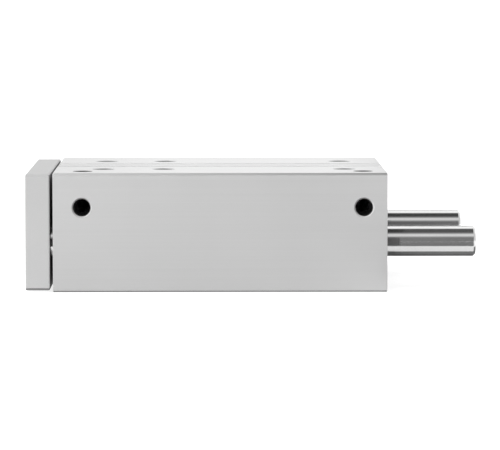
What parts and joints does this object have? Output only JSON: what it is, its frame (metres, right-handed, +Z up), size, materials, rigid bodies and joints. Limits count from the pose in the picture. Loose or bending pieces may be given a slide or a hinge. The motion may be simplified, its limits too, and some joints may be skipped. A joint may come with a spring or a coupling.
{
  "type": "guided pneumatic cylinder",
  "caption": "Pneumatic cylinder in a block housing, with guide rods on both sides of the piston rod and a yoke plate that joins them and moves as one.",
  "frame": {"origin": "centre of the underside of the housing", "axes": "+X along the stroke, away from the yoke plate; +Y across the guide rods, away from the supply ports; +Z up, from the mounting face to the face with the sensor slots"},
  "size_m": [0.2953, 0.162, 0.078],
  "materials": {
    "housing_aluminium": "clear anodised extrusion with fine lengthwise lines",
    "plate_aluminium": "clear anodised, milled",
    "cap_aluminium": "turned and clear anodised",
    "piston_aluminium": "turned",
    "ground_steel": "hardened, ground and chrome plated",
    "bearing_bronze": "sintered bronze",
    "spring_steel": "phosphated spring steel",
    "screw_steel": "zinc plated steel",
    "magnet_plastic": "plastic-bonded magnet",
    "bearing_plastic": "bearing plastic",
    "seal_rubber": "nitrile and polyurethane rubber"
  },
  "bodies": {
    "housing_unit": {"housing": "housing_aluminium", "port_plugs": "screw_steel", "bearing_cap": "cap_aluminium", "bearing_cap_oring": "seal_rubber", "rod_bush": "bearing_bronze", "rod_seal": "seal_rubber", "front_retaining_ring": "spring_steel", "end_cap": "cap_aluminium", "end_cap_oring": "seal_rubber", "rear_retaining_ring": "spring_steel", "guide_snap_rings": "spring_steel", "guide_wiper_left": "seal_rubber", "guide_bush_front_left": "bearing_bronze", "guide_spacer_left": "bearing_plastic", "guide_bush_rear_left": "bearing_bronze", "guide_wiper_right": "seal_rubber", "guide_bush_front_right": "bearing_bronze", "guide_spacer_right": "bearing_plastic", "guide_bush_rear_right": "bearing_bronze"},
    "yoke_unit": {"yoke_plate": "plate_aluminium", "yoke_screws": "screw_steel", "guide_rod_left": "ground_steel", "guide_rod_right": "ground_steel", "piston_rod": "ground_steel", "piston_front": "piston_aluminium", "piston_rear": "piston_aluminium", "piston_magnet": "magnet_plastic", "piston_wear_ring": "bearing_plastic", "piston_seal_front": "seal_rubber", "piston_seal_rear": "seal_rubber", "cushion_front": "seal_rubber", "cushion_rear": "seal_rubber", "piston_rod_oring": "seal_rubber", "piston_screw": "screw_steel"}
  },
  "joints": [
    {"name": "stroke", "type": "slide", "parent": "housing_unit", "child": "yoke_unit", "axis": [-1, 0, 0], "range_m": [0, 0.16]}
  ]
}
